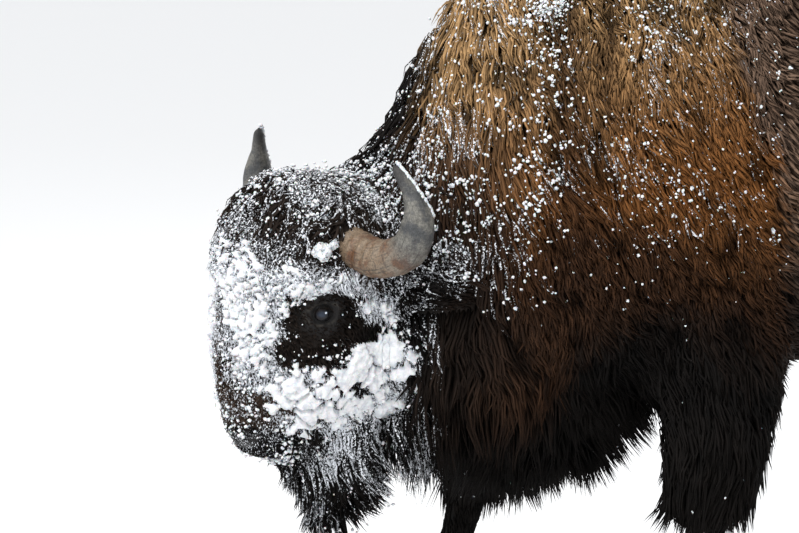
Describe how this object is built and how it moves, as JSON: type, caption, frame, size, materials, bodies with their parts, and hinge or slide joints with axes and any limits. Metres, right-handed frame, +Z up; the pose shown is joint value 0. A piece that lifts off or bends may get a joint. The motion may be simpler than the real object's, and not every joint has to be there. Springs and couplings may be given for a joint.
{
  "type": "american bison",
  "caption": "American bison bull standing with head lowered and turned aside, shaggy cape, bonnet and beard, short hooked horns, cloven hooves and tufted tail; a still display animal.",
  "frame": {"origin": "on the floor, at the middle of the whole animal's box seen from above", "axes": "+Z up, -X the way the bull faces, -Y its left side, with the hoof soles at Z = 0"},
  "size_m": [2.6398, 0.7736, 1.7797],
  "materials": {
    "cape_fur": "shaggy ochre wool, red-brown lower down, dusted with snow",
    "mane_fur": "long wavy red-brown hair",
    "body_fur": "short dense grey-brown hair",
    "face_fur": "curly black-brown hair with snow crust",
    "dark_wool": "long black-brown hair",
    "leg_fur": "short smooth dark hair",
    "nose_skin": "damp pebbled black skin",
    "horn": "grey-black horn, rough and brown at the base",
    "hoof": "dull dark horn",
    "eye": "wet dark brown",
    "snow": "frozen snow caught in the coat"
  },
  "bodies": {
    "root": {"forequarters": "cape_fur", "neck": "mane_fur", "barrel": "body_fur", "hindquarters": "body_fur", "head": "face_fur", "muzzle": "nose_skin", "jaw": "face_fur", "beard": "dark_wool", "brisket_mane": "dark_wool", "foreleg_left_upper": "dark_wool", "foreleg_left_cannon": "leg_fur", "foreleg_left_foot": "leg_fur", "hindleg_left_thigh": "body_fur", "hindleg_left_shank": "body_fur", "hindleg_left_cannon": "leg_fur", "hindleg_left_foot": "leg_fur", "foreleg_right_upper": "dark_wool", "foreleg_right_cannon": "leg_fur", "foreleg_right_foot": "leg_fur", "hindleg_right_thigh": "body_fur", "hindleg_right_shank": "body_fur", "hindleg_right_cannon": "leg_fur", "hindleg_right_foot": "leg_fur", "tail_dock": "body_fur", "tail_switch": "dark_wool", "eye_left": "eye", "horn_left": "horn", "ear_left": "face_fur", "eye_right": "eye", "horn_right": "horn", "ear_right": "face_fur", "hoof_fore_left_inner": "hoof", "hoof_fore_left_outer": "hoof", "hoof_fore_right_inner": "hoof", "hoof_fore_right_outer": "hoof", "hoof_hind_left_inner": "hoof", "hoof_hind_left_outer": "hoof", "hoof_hind_right_inner": "hoof", "hoof_hind_right_outer": "hoof"}
  },
  "joints": []
}
